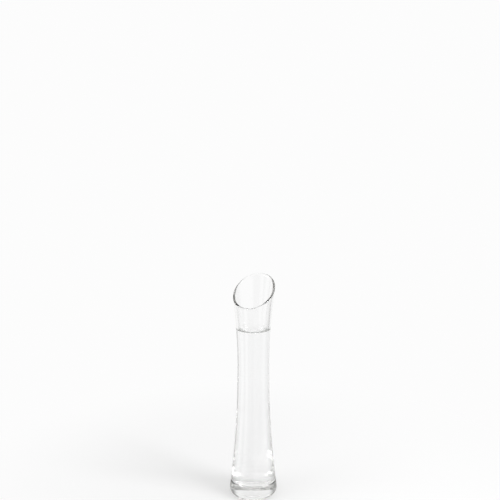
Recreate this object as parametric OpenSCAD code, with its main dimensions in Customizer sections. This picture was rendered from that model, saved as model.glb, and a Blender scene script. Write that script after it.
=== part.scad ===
// Glass bud vase: one drawn-in glass body with a thick base and a slanted, fire-polished mouth,
// and the water that it holds. Millimetres, +Z up, origin at the middle of the foot.

/* [Glass body] */
// Height of the highest point of the lip above the table
height = 200; // [150:1:260]
// Widest diameter, just above the foot
base_d = 42.8; // [39:0.2:60]
// Outside diameter at the waist, the narrowest place
waist_d = 28.2; // [20:0.2:31]
// Height of the waist
waist_z = 120; // [90:1:135]
// Outside diameter that the flare reaches at full height
mouth_d = 40.6; // [36:0.2:52]
// Radius of the outer edge of the foot
foot_round = 6; // [2:0.5:9]

/* [Cavity] */
// Glass thickness of the neck and waist
wall = 1.7; // [1.4:0.1:3]
// Glass thickness of the base, under the cavity
base_thickness = 10.5; // [5:0.5:20]
// Widest diameter of the cavity, just above its floor
cavity_d = 34; // [31:0.2:35]
// Radius of the corner between the cavity's floor and its wall
cavity_round = 7; // [3:0.5:10]

/* [Mouth] */
// Slope of the mouth from the horizontal, in degrees
mouth_tilt = 34.5; // [15:0.5:40]
// Direction of the mouth's high side, in degrees round from +X
mouth_turn = 69; // [0:1:359]
// How far the melted lip stands proud of each face of the wall
lip_swell = 0.1; // [0.1:0.05:0.6]

/* [Foot] */
// Diameter of the shallow hollow under the base
punt_d = 27; // [12:0.5:30]
// Depth of the hollow under the base
punt_depth = 1.5; // [0.5:0.1:3]

/* [Water] */
// Height of the water's flat surface above the table
water_z = 152; // [60:1:160]
// Height by which the water climbs the glass at its edge
climb = 2.7; // [0.8:0.1:3.2]
// Radius of the curve by which it climbs
meniscus = 5.4; // [3.6:0.2:8]
// Clearance between the water and the glass
water_gap = 0.1; // [0.05:0.05:0.3]

/* [Hidden] */
$fn = 120;
// Segments of the long, shallow arcs of the wall
long_arc = 720;
// Tools that cut or fill run past the faces they meet by this much
margin = 5;

base_r = base_d / 2;
waist_r = waist_d / 2;
mouth_r = mouth_d / 2;
bore_r = waist_r - wall;
cavity_r = cavity_d / 2;
punt_r = punt_d / 2;

// Radius of an arc that leaves a vertical line and strays sideways by stray over a rise of rise
function arc_radius(rise, stray) = (rise * rise + stray * stray) / (2 * stray);

// Radius of the flare's arc on the outside
flare_r = arc_radius(height - waist_z, mouth_r - waist_r);
flare_cx = waist_r + flare_r;

// Radius of the wall at a height above the waist, at a depth into the glass
function flare_at(z, depth) = flare_cx - sqrt(pow(flare_r + depth, 2) - pow(z - waist_z, 2));

// The lip is a round bead along the middle of the wall, where the slanted cut meets it
slope = tan(mouth_tilt);
lip_r = wall / 2 + lip_swell;
lip_top = lip_r / cos(mouth_tilt);

// Height of the slanted cut on the axis: the lip's highest point comes to the full height
cut_z = height - lip_top - slope * flare_at(height - lip_top, wall / 2);

// Radius of the mid-wall where the slanted cut meets it, uphill (side = 1) or downhill (side = -1)
function rim_r(side, guess, steps = 12) =
    steps == 0 ? guess : rim_r(side, flare_at(cut_z + side * slope * guess, wall / 2), steps - 1);
rim_high = rim_r(1, mouth_r);
rim_low = rim_r(-1, waist_r);

// Seen from above the lip is very nearly an ellipse, moved a little uphill
lip_long = (rim_high + rim_low) / 2;
lip_shift = (rim_high - rim_low) / 2;
lip_short = flare_at(cut_z, wall / 2) / sqrt(1 - pow(lip_shift / lip_long, 2));

// Half outline of a waisted form: round foot, arc in to the neck, arc out to the mouth.
// Its three pieces meet along whole edges. The foot's arc ends on the line between its own centre
// and that of the lower arc, where the two arcs run smoothly into each other.
module waisted_half(foot_r, round, floor_z, neck_r, flare, top) {
    foot_c = [foot_r - round, floor_z + round];
    low_r = arc_radius(waist_z - foot_c.y, foot_r - neck_r) - round;
    low_c = [neck_r + low_r, waist_z];
    flare_c = [neck_r + flare, waist_z];
    clear = 2 * round;
    past_seam = foot_c + (low_c - foot_c) * clear / (low_r + round);
    intersection() {
        translate(foot_c) circle(round);
        polygon([
            foot_c, foot_c + [0, -clear], foot_c + [clear, -clear], past_seam + [clear, 0], past_seam
        ]);
    }
    difference() {
        polygon([[0, floor_z], [foot_c.x, floor_z], foot_c, low_c, [0, waist_z]]);
        translate(low_c) circle(low_r, $fn = long_arc);
    }
    difference() {
        polygon([[0, waist_z], flare_c, [flare_c.x, top], [0, top]]);
        translate(flare_c) circle(flare, $fn = long_arc);
    }
}

// Half outline of the cavity, drawn in by a clearance
module cavity_half(inset, top) {
    waisted_half(
        cavity_r - inset, cavity_round - inset, base_thickness + inset,
        bore_r - inset, flare_r + wall + inset, top
    );
}

// Everything above the slanted cut
module above_cut() {
    translate([0, 0, cut_z]) rotate([0, 0, mouth_turn]) rotate([0, -mouth_tilt, 0])
        translate([-height / 2, -height / 2, 0]) cube(height);
}

// Rounded bead of the fire-polished lip, laid on the slope of the cut
module lip() {
    rotate([0, 0, mouth_turn])
        multmatrix([
            [lip_long / lip_short, 0, 0, lip_shift],
            [0, 1, 0, 0],
            [slope * lip_long / lip_short, 0, 1, cut_z + slope * lip_shift],
            [0, 0, 0, 1]
        ])
        rotate_extrude() translate([lip_short, 0]) circle(lip_r, $fn = 48);
}

module glass_vase() {
    punt_ball = arc_radius(punt_r, punt_depth);
    color([0.84, 0.92, 0.91, 0.45]) {
        difference() {
            rotate_extrude() difference() {
                waisted_half(base_r, foot_round, 0, waist_r, flare_r, height + margin);
                cavity_half(0, height + 2 * margin);
                translate([0, punt_depth - punt_ball]) circle(punt_ball, $fn = long_arc);
            }
            above_cut();
        }
        lip();
    }
}

module water() {
    top = water_z + climb;
    edge_r = flare_at(top, wall + water_gap);
    // The level ends where the curve starts, which then reaches the wall at the top of the climb
    level_r = edge_r - sqrt(climb * (2 * meniscus - climb));
    color([0.78, 0.88, 0.92, 0.5])
        rotate_extrude() difference() {
            cavity_half(water_gap, top + water_gap);
            translate([0, water_z]) square([level_r, margin]);
            translate([level_r, water_z + meniscus]) circle(meniscus, $fn = 240);
        }
}

glass_vase();
water();
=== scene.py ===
"""Looks of the glass bud vase and of the water in it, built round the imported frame. Metres, +Z up."""
import math

import bpy
import numpy as np
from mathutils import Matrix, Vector


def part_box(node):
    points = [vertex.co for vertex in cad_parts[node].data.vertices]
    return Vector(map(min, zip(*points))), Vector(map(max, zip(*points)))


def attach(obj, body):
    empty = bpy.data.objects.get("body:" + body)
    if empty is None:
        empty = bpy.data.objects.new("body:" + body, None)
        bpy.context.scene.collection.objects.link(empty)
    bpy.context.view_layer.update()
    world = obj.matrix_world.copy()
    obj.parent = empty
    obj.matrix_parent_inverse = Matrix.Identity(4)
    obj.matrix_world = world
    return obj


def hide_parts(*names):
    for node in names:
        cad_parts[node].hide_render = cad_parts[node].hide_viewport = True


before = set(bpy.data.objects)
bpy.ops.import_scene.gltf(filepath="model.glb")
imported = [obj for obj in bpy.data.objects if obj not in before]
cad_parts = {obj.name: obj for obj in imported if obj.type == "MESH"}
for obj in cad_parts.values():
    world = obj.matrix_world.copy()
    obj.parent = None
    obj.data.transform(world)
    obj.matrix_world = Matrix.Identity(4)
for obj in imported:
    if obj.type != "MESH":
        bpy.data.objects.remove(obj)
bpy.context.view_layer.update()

MM = 0.001
WHITE = (1, 1, 1)

# Sizes that the frame gives
GLASS_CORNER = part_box("glass_vase")[1]
HEIGHT = GLASS_CORNER.z
BASE_R = GLASS_CORNER.x
WATER_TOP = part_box("water")[1].z

# Glass body
WAIST_R = 14.1 * MM
WAIST_Z = 120 * MM
MOUTH_R = 20.3 * MM
FOOT_ROUND = 6 * MM
WALL = 1.7 * MM
BASE_THICKNESS = 10.5 * MM
CAVITY_R = 17 * MM
CAVITY_ROUND = 7 * MM
PUNT_R = 13.5 * MM
PUNT_DEPTH = 1.5 * MM

# Slanted mouth: over a short reach the wall swells a little into its melted lip
MOUTH_TILT = math.radians(34.5)
MOUTH_TURN = math.radians(69)
LIP_SWELL = 0.1 * MM
LIP_REACH = 4 * MM

# Slow waves of the wall: lobes round the axis, and how far each wave turns over the rise
WAVES = [(2, 1), (3, -1.7), (5, 0.6)]
WAVE_DEPTH = 0.03 * MM
WAVE_RISE = 12 * MM
OUTSIDE_PHASE = 0.4
INSIDE_PHASE = 2.1

# Water: it wets the glass, so its skin lies just behind the wall's face, and climbs it at the edge.
# The slope at the wall and the capillary length of water give the climb.
WALL_SLOPE = math.radians(60)
CALM_SLOPE = math.radians(0.5)
CAPILLARY = 2.7 * MM
WETTING = 0.05 * MM

# Steps of the meshes, and rounds of the search for the slanted cut
TURN_STEPS = 224
WALL_STEPS = 60
CORNER_STEPS = 20
LIP_STEPS = 16
PUNT_STEPS = 16
FLOOR_STEPS = 8
SURFACE_STEPS = 40
CUT_ROUNDS = 20

# Clear glass: its painted edge shade (a base colour that darkens in grazing views), its tint in shadows,
# and what it absorbs
GLASS_INDEX = 1.5
GLASS_EDGE_SHADE = (0.75, 0.75, 0.735)
GLASS_SHADOW = (0.88, 0.88, 0.877)
GLASS_ABSORB = (0.905, 0.905, 0.9)
GLASS_DENSITY = 30
EDGE_SHADE_START = 0.5

# Surface of the glass: streaks along the axis, a few smudges and a foot worn dull
STREAK_SCALE = 60
STREAK_STRETCH = 3
STREAK_DETAIL = 1
STREAK_DEPTH = 0.06 * MM
SMUDGE_SCALE = 35
SMUDGE_DETAIL = 4
SMUDGE_START = 0.55
SMUDGE_FULL = 0.8
SMUDGE_ROUGHNESS = 0.02
WORN_ROUGHNESS = 0.25
WORN_HEIGHT = 0.3 * MM

# Clear water with a barely moving surface
WATER_INDEX = 1.333
WATER_SHADOW = (0.97, 0.97, 0.97)
WATER_ABSORB = (0.9, 0.97, 1)
WATER_DENSITY = 1
SWELL_SCALE = 120
SWELL_DETAIL = 1
SWELL_DEPTH = 0.02 * MM

# Camera that took the photograph
CAMERA_AT = (-2.95 * MM, -600 * MM, 319.6 * MM)
CAMERA_PITCH = math.radians(9.05)
FOCAL_PIXELS = 701
FRAME_PIXELS = 500
SENSOR = 36

# Studio: a pale floor that fades into a pale backdrop, plain light all round and soft lamps.
# Each lamp has a name, a place, a size and a power.
FLOOR_COLOUR = (0.95, 0.95, 0.95)
FLOOR_REACH = 8
FLOOR_GAP = 0.05 * MM
FADE_START = 0.08
FADE_END = 0.3
BACKDROP = (0.975, 0.975, 0.975)
PLAIN_LIGHT = (0.6, 0.6, 0.6)
SOFTBOXES = [
    ("key_softbox", (1.3, -0.7, 1.5), 0.8, 21.5),
    ("fill_softbox", (-1.3, -0.5, 1.3), 0.9, 5),
]

# Light is followed for many bounces, because it runs far inside the wall and the base
LIGHT_BOUNCES = 128

# Painted dark reflections: cards round the set that stand nowhere in it and that only the glass shows.
# Azimuth from +X and half width in degrees, of which a share in the core is full dark. The low ones lie
# on the floor, from a distance off, and reach up past the horizon. The high ones hang above it for the
# thick base. Heights are sines of elevation.
CARD_REFLECTION_COLOUR = (0.1, 0.1, 0.1)
CARD_CORE = 0.4
LOW_CARDS = [(25, 30), (157.5, 12), (202.5, 12), (250, 30)]
LOW_DEPTH = 0.65
LOW_START = 0.016
LOW_END = 0.035
LOW_FADE = math.sin(math.radians(10))
LOW_TOP = math.sin(math.radians(35))
HIGH_CARDS = [(30, 32), (150, 32), (255, 30)]
HIGH_DEPTH = 0.88
HIGH_FOOT = math.sin(math.radians(7))
HIGH_FULL = math.sin(math.radians(14))
HIGH_FADE = math.sin(math.radians(40))
HIGH_TOP = math.sin(math.radians(55))


def arc_radius(rise, stray):
    """Radius of an arc that leaves a vertical line and strays sideways by stray over a rise of rise."""
    return (rise * rise + stray * stray) / (2 * stray)


# Values that follow from the sizes, and the turns at which each row of a mesh has its points
FLARE_R = arc_radius(HEIGHT - WAIST_Z, MOUTH_R - WAIST_R)
LIP_R = WALL / 2 + LIP_SWELL
MOUTH_SLOPE = math.tan(MOUTH_TILT)
TURN = np.arange(TURN_STEPS) * 2 * math.pi / TURN_STEPS


def smoothstep(x):
    """Smooth step from 0 at 0 to 1 at 1."""
    x = np.clip(x, 0, 1)
    return x * x * (3 - 2 * x)


def arc(centre, radius, start, end, steps):
    """Points of an arc in the plane of radius and height, from one angle to another."""
    angle = np.linspace(start, end, steps)
    return np.column_stack([centre[0] + radius * np.cos(angle), centre[1] + radius * np.sin(angle)])


def lower_outline(foot_r, round_r, floor_z, neck_r):
    """Outline from the edge of a floor, round the foot and in to the waist."""
    foot = (foot_r - round_r, floor_z + round_r)
    low_r = arc_radius(WAIST_Z - foot[1], foot_r - neck_r) - round_r
    low = (neck_r + low_r, WAIST_Z)
    tangent = math.atan2(low[1] - foot[1], low[0] - foot[0])
    corner = arc(foot, round_r, -math.pi / 2, tangent, CORNER_STEPS)
    rise = arc(low, low_r, math.pi + tangent, math.pi, WALL_STEPS)
    return np.vstack([corner, rise[1:]])


def flare_at(z, depth):
    """Radius of the wall above the waist, at a depth into the glass."""
    return WAIST_R + FLARE_R - np.sqrt((FLARE_R + depth) ** 2 - (z - WAIST_Z) ** 2)


def cut_height(depth):
    """Height at which the slanted cut meets the wall at a depth into the glass, for each turn."""
    lip_top = LIP_R / math.cos(MOUTH_TILT)
    centre = HEIGHT - lip_top - MOUTH_SLOPE * flare_at(HEIGHT - lip_top, WALL / 2)
    z = np.full_like(TURN, centre)
    for _ in range(CUT_ROUNDS):
        z = centre + MOUTH_SLOPE * flare_at(z, depth) * np.cos(TURN - MOUTH_TURN)
    return z


def flared_wall(depth, swell):
    """Rows of radius and height from the waist to the lip, into which the wall swells a little."""
    end = cut_height(depth - swell)
    rows = []
    for share in np.linspace(0, 1, WALL_STEPS)[1:]:
        z = WAIST_Z + (end - WAIST_Z) * share
        r = flare_at(z, depth) + swell * smoothstep(1 - (end - z) / LIP_REACH)
        rows.append((r, z))
    return rows


def wavy(rows, phase):
    """Rows of a wall with the slow waves of hot-worked glass, which fade out towards the table."""
    waved = []
    for r, z in rows:
        climb = z / WAVE_RISE
        wave = 0
        for number, (lobes, twist) in enumerate(WAVES, 1):
            wave = wave + np.sin(lobes * TURN + twist * climb + number * phase)
        waved.append((r + WAVE_DEPTH * wave / len(WAVES) * smoothstep(climb), z))
    return waved


def disc_rows(z, radius):
    """Rows of a flat disc, from near its middle out to just inside its edge."""
    return [(radius * share, z) for share in np.linspace(0, 1, FLOOR_STEPS + 1)[1:-1]]


def lip_rows(outside, inside):
    """Rows over the melted lip, which runs on from the outside of the wall and into its inside."""
    (r_out, z_out), (r_in, z_in) = outside[-1], inside[-1]
    lean_out = (r_out - outside[-2][0]) / (z_out - outside[-2][1])
    lean_in = (r_in - inside[-2][0]) / (z_in - inside[-2][1])
    rows = []
    for bend in np.linspace(0, math.pi, LIP_STEPS)[1:-1]:
        share = (1 + math.cos(bend)) / 2
        rise = LIP_R * math.sin(bend)
        lean = share * lean_out + (1 - share) * lean_in
        r = share * r_out + (1 - share) * r_in + rise * lean
        z = share * z_out + (1 - share) * z_in + rise
        rows.append((r, z))
    return rows


def climb_of(slope):
    """Height above the level at which a capillary curve has a slope."""
    return 2 * CAPILLARY * math.sin(slope / 2)


def reach_of(slope):
    """Distance along the level at which a capillary curve has a slope, growing towards the wall."""
    return CAPILLARY * (math.log(math.tan(slope / 4)) + 2 * math.cos(slope / 2))


def new_object(name, data):
    """An object of the scene that holds a mesh, a lamp or a camera."""
    made = bpy.data.objects.new(name, data)
    bpy.context.scene.collection.objects.link(made)
    return made


def ring_mesh(name, rows, first_pole, last_pole, crease):
    """Closed mesh of rows round the axis, with a pole at each end. Only the crease row is sharp."""
    points = []
    for r, z in rows:
        r = np.broadcast_to(r, TURN.shape)
        z = np.broadcast_to(z, TURN.shape)
        points.append(np.column_stack([r * np.cos(TURN), r * np.sin(TURN), z]))
    points = np.vstack([*points, [(0, 0, first_pole), (0, 0, last_pole)]])
    first = len(rows) * TURN_STEPS
    top = first - TURN_STEPS
    faces = []
    for j in range(TURN_STEPS):
        k = (j + 1) % TURN_STEPS
        faces.append((first, k, j))
        for a in range(0, top, TURN_STEPS):
            b = a + TURN_STEPS
            faces.append((a + j, a + k, b + k, b + j))
        faces.append((first + 1, top + j, top + k))
    mesh = bpy.data.meshes.new(name)
    mesh.from_pydata(points.tolist(), [], faces)
    mesh.shade_smooth()
    ring = range(crease * TURN_STEPS, (crease + 1) * TURN_STEPS)
    for edge in mesh.edges:
        edge.use_edge_sharp = all(end in ring for end in edge.vertices)
    return new_object(name, mesh)


def make_glass():
    """The one glass body: from the hollow under the foot, up the outside, over the lip and down inside."""
    ball = arc_radius(PUNT_R, PUNT_DEPTH)
    edge = math.asin(PUNT_R / ball)
    punt = arc((0, PUNT_DEPTH - ball), ball, math.pi / 2, math.pi / 2 - edge, PUNT_STEPS)[1:]
    outer = lower_outline(BASE_R, FOOT_ROUND, 0, WAIST_R)
    inner = lower_outline(CAVITY_R, CAVITY_ROUND, BASE_THICKNESS, WAIST_R - WALL)
    outside = wavy([*outer, *flared_wall(0, LIP_SWELL)], OUTSIDE_PHASE)
    inside = wavy([*inner, *flared_wall(WALL, -LIP_SWELL)], INSIDE_PHASE)
    floor = disc_rows(BASE_THICKNESS, inner[0][0])
    rows = [*punt, *outside, *lip_rows(outside, inside), *inside[::-1], *floor[::-1]]
    return ring_mesh("vase_glass", rows, PUNT_DEPTH, BASE_THICKNESS, crease=len(punt) - 1)


def make_water():
    """The water, wetting the cavity's wall and climbing it a little at the edge of its surface."""
    floor_z = BASE_THICKNESS - WETTING
    inner = lower_outline(CAVITY_R + WETTING, CAVITY_ROUND + WETTING, floor_z, WAIST_R - WALL + WETTING)
    heights = np.linspace(WAIST_Z, WATER_TOP, WALL_STEPS)[1:]
    wall = [(flare_at(z, WALL - WETTING), z) for z in heights]
    below = [*disc_rows(floor_z, inner[0][0]), *inner, *wall]
    start = wall[-1][0] - reach_of(WALL_SLOPE)
    level = WATER_TOP - climb_of(WALL_SLOPE)
    slopes = np.geomspace(WALL_SLOPE, CALM_SLOPE, SURFACE_STEPS)[1:]
    surface = [(start + reach_of(slope), level + climb_of(slope)) for slope in slopes]
    return ring_mesh("vase_water", [*below, *surface], floor_z, surface[-1][1], crease=len(below) - 1)


def new_material(name):
    """A material with an empty node tree, and that tree."""
    material = bpy.data.materials.new(name)
    material.use_nodes = True
    tree = material.node_tree
    tree.nodes.clear()
    return material, tree


def math_node(tree, operation, *values):
    """Result of a Math node, each of whose inputs is a number or another node's output."""
    node = tree.nodes.new("ShaderNodeMath")
    node.operation = operation
    for socket, value in zip(node.inputs, values):
        if isinstance(value, (int, float)):
            socket.default_value = value
        else:
            tree.links.new(value, socket)
    return node.outputs["Value"]


def ramp(tree, value, start, end):
    """Smooth step of a value from 0 at start to 1 at end."""
    node = tree.nodes.new("ShaderNodeMapRange")
    node.interpolation_type = "SMOOTHSTEP"
    node.inputs["From Min"].default_value = start
    node.inputs["From Max"].default_value = end
    tree.links.new(value, node.inputs["Value"])
    return node.outputs["Result"]


def place_of(tree, kind):
    """The three parts of a place or a direction, which a texture coordinate gives."""
    place = tree.nodes.new("ShaderNodeTexCoord")
    split = tree.nodes.new("ShaderNodeSeparateXYZ")
    tree.links.new(place.outputs[kind], split.inputs["Vector"])
    return split.outputs["X"], split.outputs["Y"], split.outputs["Z"]


def noise(tree, scale, detail, stretch=1):
    """A noise over the surface, which can be drawn out along the vase's axis."""
    place = tree.nodes.new("ShaderNodeTexCoord")
    mapping = tree.nodes.new("ShaderNodeMapping")
    mapping.inputs["Scale"].default_value = (1, 1, 1 / stretch)
    texture = tree.nodes.new("ShaderNodeTexNoise")
    texture.inputs["Scale"].default_value = scale
    texture.inputs["Detail"].default_value = detail
    tree.links.new(place.outputs["Object"], mapping.inputs["Vector"])
    tree.links.new(mapping.outputs["Vector"], texture.inputs["Vector"])
    return texture.outputs["Fac"]


def plain_shader(tree, kind, colour):
    """A shader of one kind and one colour."""
    node = tree.nodes.new(kind)
    node.inputs["Color"].default_value = (*colour, 1)
    return node.outputs[0]


def mixed(tree, share, first, second):
    """One shader faded into another."""
    node = tree.nodes.new("ShaderNodeMixShader")
    tree.links.new(share, node.inputs["Fac"])
    tree.links.new(first, node.inputs[1])
    tree.links.new(second, node.inputs[2])
    return node.outputs["Shader"]


def bumped(tree, body, height, depth):
    """Gives a shader a relief of a real depth."""
    bump = tree.nodes.new("ShaderNodeBump")
    bump.inputs["Distance"].default_value = depth
    tree.links.new(height, bump.inputs["Height"])
    tree.links.new(bump.outputs["Normal"], body.inputs["Normal"])


def clear_material(name, index, edge, shadow, absorb, density):
    """A clear refracting body, through which lamp light and soft light go on to what lies behind it. Its
    base colour darkens towards grazing views by edge, a painted edge shade.
    """
    material, tree = new_material(name)
    body = tree.nodes.new("ShaderNodeBsdfPrincipled")
    body.inputs["IOR"].default_value = index
    body.inputs["Transmission Weight"].default_value = 1
    # Painted edge shade: the base colour goes from white to the edge colour as the surface turns away from
    # view
    facing = tree.nodes.new("ShaderNodeLayerWeight")
    edge_shade = tree.nodes.new("ShaderNodeValToRGB")
    edge_shade.color_ramp.interpolation = "EASE"
    edge_shade.color_ramp.elements[0].position = EDGE_SHADE_START
    edge_shade.color_ramp.elements[0].color = (*WHITE, 1)
    edge_shade.color_ramp.elements[1].color = (*edge, 1)
    tree.links.new(facing.outputs["Facing"], edge_shade.inputs["Fac"])
    tree.links.new(edge_shade.outputs["Color"], body.inputs["Base Color"])
    thin = plain_shader(tree, "ShaderNodeBsdfTransparent", shadow)
    path = tree.nodes.new("ShaderNodeLightPath").outputs
    surface = mixed(tree, path["Is Shadow Ray"], body.outputs["BSDF"], thin)
    surface = mixed(tree, path["Is Diffuse Ray"], surface, thin)
    volume = tree.nodes.new("ShaderNodeVolumeAbsorption")
    volume.inputs["Color"].default_value = (*absorb, 1)
    volume.inputs["Density"].default_value = density
    out = tree.nodes.new("ShaderNodeOutputMaterial")
    tree.links.new(surface, out.inputs["Surface"])
    tree.links.new(volume.outputs["Volume"], out.inputs["Volume"])
    return material, tree, body


def glass_material():
    """Clear drawn glass: faint streaks along its axis, a few smudges, and a foot worn dull by the table."""
    material, tree, body = clear_material(
        "clear_glass", GLASS_INDEX, GLASS_EDGE_SHADE, GLASS_SHADOW, GLASS_ABSORB, GLASS_DENSITY
    )
    bumped(tree, body, noise(tree, STREAK_SCALE, STREAK_DETAIL, STREAK_STRETCH), STREAK_DEPTH)
    smudge = ramp(tree, noise(tree, SMUDGE_SCALE, SMUDGE_DETAIL), SMUDGE_START, SMUDGE_FULL)
    smudge = math_node(tree, "MULTIPLY", smudge, SMUDGE_ROUGHNESS)
    height = place_of(tree, "Object")[2]
    worn = math_node(tree, "MULTIPLY", ramp(tree, height, WORN_HEIGHT, 0), WORN_ROUGHNESS)
    tree.links.new(math_node(tree, "ADD", smudge, worn), body.inputs["Roughness"])
    return material


def water_material():
    """Still clear water with a barely moving surface."""
    material, tree, body = clear_material(
        "water", WATER_INDEX, WHITE, WATER_SHADOW, WATER_ABSORB, WATER_DENSITY
    )
    bumped(tree, body, noise(tree, SWELL_SCALE, SWELL_DETAIL), SWELL_DEPTH)
    body.inputs["Roughness"].default_value = 0
    return material


def ray_kinds(tree):
    """Whether a ray comes through or off the glass, and whether it does so or comes from the camera."""
    path = tree.nodes.new("ShaderNodeLightPath").outputs
    through = math_node(tree, "MAXIMUM", path["Is Glossy Ray"], path["Is Transmission Ray"])
    return through, math_node(tree, "MAXIMUM", through, path["Is Camera Ray"])


def cards(tree, x, y, places, depth):
    """How dark a ring of painted cards is in each direction, up to a depth."""
    turn = math_node(tree, "ARCTAN2", y, x)
    total = 0.0
    for azimuth, half_width in places:
        away = math_node(tree, "SUBTRACT", turn, math.radians(azimuth))
        away = math_node(tree, "WRAP", away, math.pi, -math.pi)
        away = math_node(tree, "ABSOLUTE", away)
        width = math.radians(half_width)
        total = math_node(tree, "MAXIMUM", ramp(tree, away, width, width * CARD_CORE), total)
    return math_node(tree, "MULTIPLY", total, depth)


def make_floor():
    """A pale paper floor with the vase's shadow, which fades out. Rays off or through the glass also see
    painted dark cards on it, a painted reflection.
    """
    material, tree = new_material("floor_paper")
    through, seen = ray_kinds(tree)
    x, y, _ = place_of(tree, "Object")
    far = math_node(tree, "ADD", math_node(tree, "MULTIPLY", x, x), math_node(tree, "MULTIPLY", y, y))
    far = math_node(tree, "SQRT", far)
    lit = plain_shader(tree, "ShaderNodeBsdfDiffuse", FLOOR_COLOUR)
    glow = plain_shader(tree, "ShaderNodeEmission", BACKDROP)
    # Painted dark reflection: the cards on the floor, which only rays off or through the glass see
    dark = plain_shader(tree, "ShaderNodeEmission", CARD_REFLECTION_COLOUR)
    faded = math_node(tree, "MULTIPLY", seen, ramp(tree, far, FADE_START, FADE_END))
    low = cards(tree, x, y, LOW_CARDS, LOW_DEPTH)
    low = math_node(tree, "MULTIPLY", low, ramp(tree, far, LOW_START, LOW_END))
    shade = math_node(tree, "MULTIPLY", low, through)
    out = tree.nodes.new("ShaderNodeOutputMaterial")
    tree.links.new(mixed(tree, shade, mixed(tree, faded, lit, glow), dark), out.inputs["Surface"])
    corners = [(-1, -1), (1, -1), (1, 1), (-1, 1)]
    points = [(FLOOR_REACH * across, FLOOR_REACH * along, -FLOOR_GAP) for across, along in corners]
    mesh = bpy.data.meshes.new("floor")
    mesh.from_pydata(points, [], [(0, 1, 2, 3)])
    mesh.materials.append(material)
    floor = new_object("floor", mesh)


def make_world():
    """Plain light all round. The camera sees the pale backdrop, and the glass also shows painted dark
    cards, a painted reflection.
    """
    world = bpy.data.worlds.new("studio")
    bpy.context.scene.world = world
    world.use_nodes = True
    tree = world.node_tree
    tree.nodes.clear()
    through, seen = ray_kinds(tree)
    x, y, rise = place_of(tree, "Generated")
    backdrop = plain_shader(tree, "ShaderNodeBackground", BACKDROP)
    # Painted dark reflection: the cards in the sky, which only rays off or through the glass see
    dark = plain_shader(tree, "ShaderNodeBackground", CARD_REFLECTION_COLOUR)
    plain = plain_shader(tree, "ShaderNodeBackground", PLAIN_LIGHT)
    low = cards(tree, x, y, LOW_CARDS, LOW_DEPTH)
    low = math_node(tree, "MULTIPLY", low, ramp(tree, rise, LOW_TOP, LOW_FADE))
    high = cards(tree, x, y, HIGH_CARDS, HIGH_DEPTH)
    high = math_node(tree, "MULTIPLY", high, ramp(tree, rise, HIGH_FOOT, HIGH_FULL))
    high = math_node(tree, "MULTIPLY", high, ramp(tree, rise, HIGH_TOP, HIGH_FADE))
    shade = math_node(tree, "MULTIPLY", math_node(tree, "MAXIMUM", low, high), through)
    out = tree.nodes.new("ShaderNodeOutputWorld")
    tree.links.new(mixed(tree, seen, plain, mixed(tree, shade, backdrop, dark)), out.inputs["Surface"])


def make_softbox(name, at, size, power):
    """A square soft lamp that faces the middle of the vase."""
    data = bpy.data.lights.new(name, "AREA")
    data.size = size
    data.energy = power
    lamp = new_object(name, data)
    lamp.location = at
    aim = Vector((0, 0, HEIGHT / 2)) - lamp.location
    lamp.rotation_euler = aim.to_track_quat("-Z", "Y").to_euler()
    lamp.visible_camera = False


def make_camera():
    """The photograph's own view."""
    data = bpy.data.cameras.new("camera")
    data.sensor_width = SENSOR
    data.lens = SENSOR * FOCAL_PIXELS / FRAME_PIXELS
    camera = new_object("camera", data)
    camera.location = CAMERA_AT
    camera.rotation_euler = (math.pi / 2 - CAMERA_PITCH, 0, 0)
    bpy.context.scene.camera = camera


make_camera()
make_floor()
make_world()
for softbox in SOFTBOXES:
    make_softbox(*softbox)

glass = make_glass()
glass.data.materials.append(glass_material())
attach(glass, "root")
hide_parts("glass_vase")

water = make_water()
water.data.materials.append(water_material())
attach(water, "root")
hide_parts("water")

scene = bpy.context.scene
scene.view_settings.view_transform = "Standard"
scene.cycles.max_bounces = LIGHT_BOUNCES
scene.cycles.transmission_bounces = LIGHT_BOUNCES
scene.cycles.glossy_bounces = LIGHT_BOUNCES
